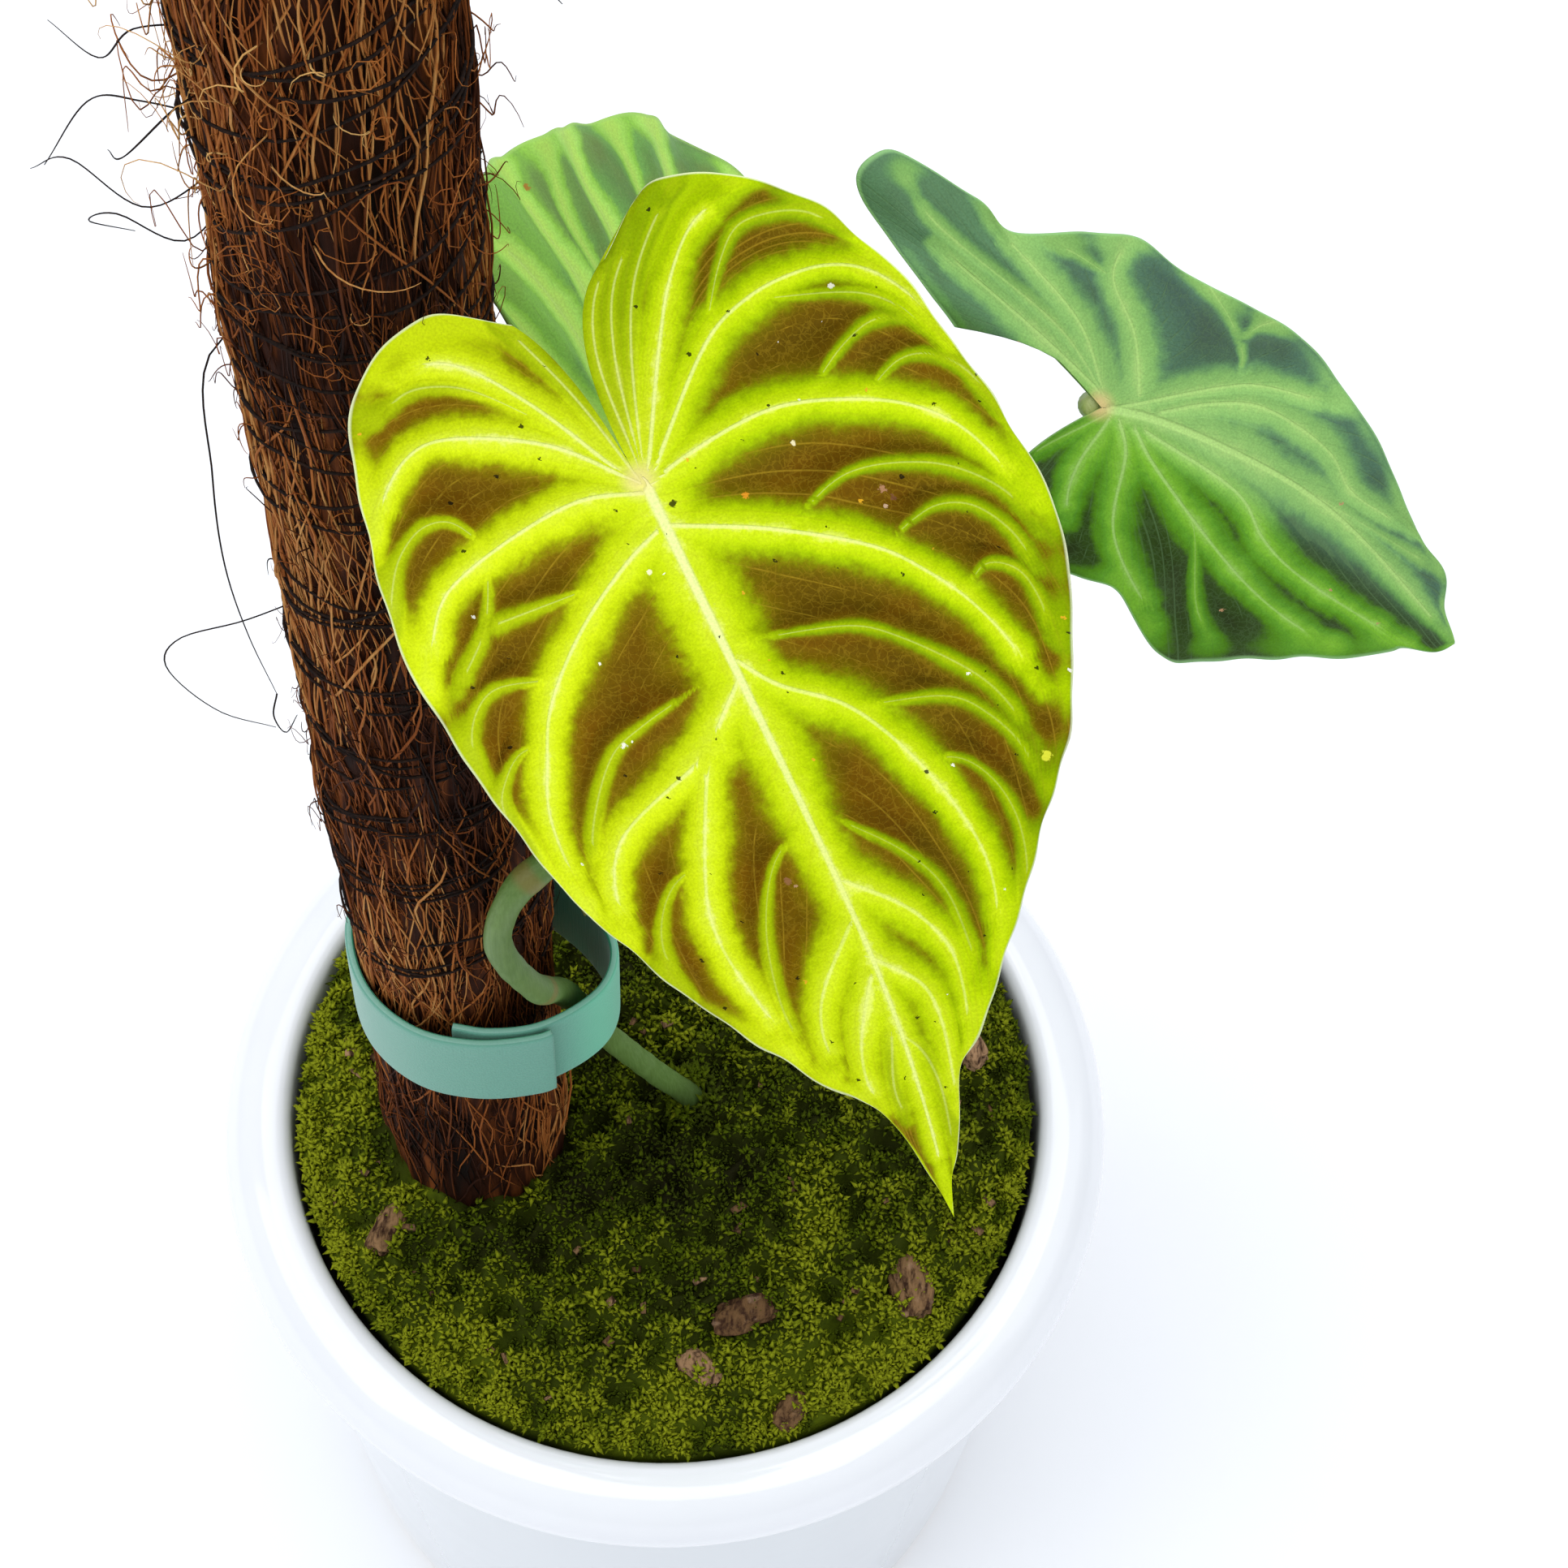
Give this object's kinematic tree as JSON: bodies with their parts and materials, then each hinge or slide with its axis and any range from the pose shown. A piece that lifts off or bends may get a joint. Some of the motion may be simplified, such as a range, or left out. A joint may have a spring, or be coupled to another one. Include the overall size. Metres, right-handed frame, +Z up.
{
  "type": "potted philodendron verrucosum on a coir pole",
  "caption": "Young velvet-leaf climbing aroid tied to a coir pole in a round white glazed pot topped with moss.",
  "frame": {"origin": "middle of the pot's flat base, on the surface that it stands on", "axes": "+Z up along the pot's axis, +X to the right and -Y toward the viewer with the pot seen from its front"},
  "size_m": [0.184, 0.1781, 0.4502],
  "materials": {
    "glaze": "glossy white glaze",
    "soil": "dark crumbly potting soil, matt",
    "moss": "living cushion moss, olive to yellow-green, matt",
    "bark": "weathered bark chips, matt",
    "stake_wood": "bare turned wood",
    "coir": "matted coconut fibre, rough",
    "twine": "black twine, matt",
    "tie": "mint green soft strap, satin",
    "stem_green": "smooth pale green stem",
    "leaf_lime": "lime green blade with dark olive-brown fields between pale veins, soft satin",
    "leaf_green": "mid green blade with light green veins and dark fields, soft satin"
  },
  "bodies": {
    "root": {"pot": "glaze", "potting_soil": "soil", "moss_layer": "moss", "pole_stake": "stake_wood", "coir_sleeve": "coir", "pole_twine": "twine", "tie_band": "tie", "main_stem": "stem_green", "petiole_front": "stem_green", "petiole_back": "stem_green", "petiole_right": "stem_green", "leaf_blade_front": "leaf_lime", "leaf_blade_back": "leaf_green", "leaf_blade_right": "leaf_green", "bark_chip_1": "bark", "bark_chip_2": "bark", "bark_chip_3": "bark", "bark_chip_4": "bark", "bark_chip_5": "bark", "bark_chip_6": "bark"}
  },
  "joints": []
}
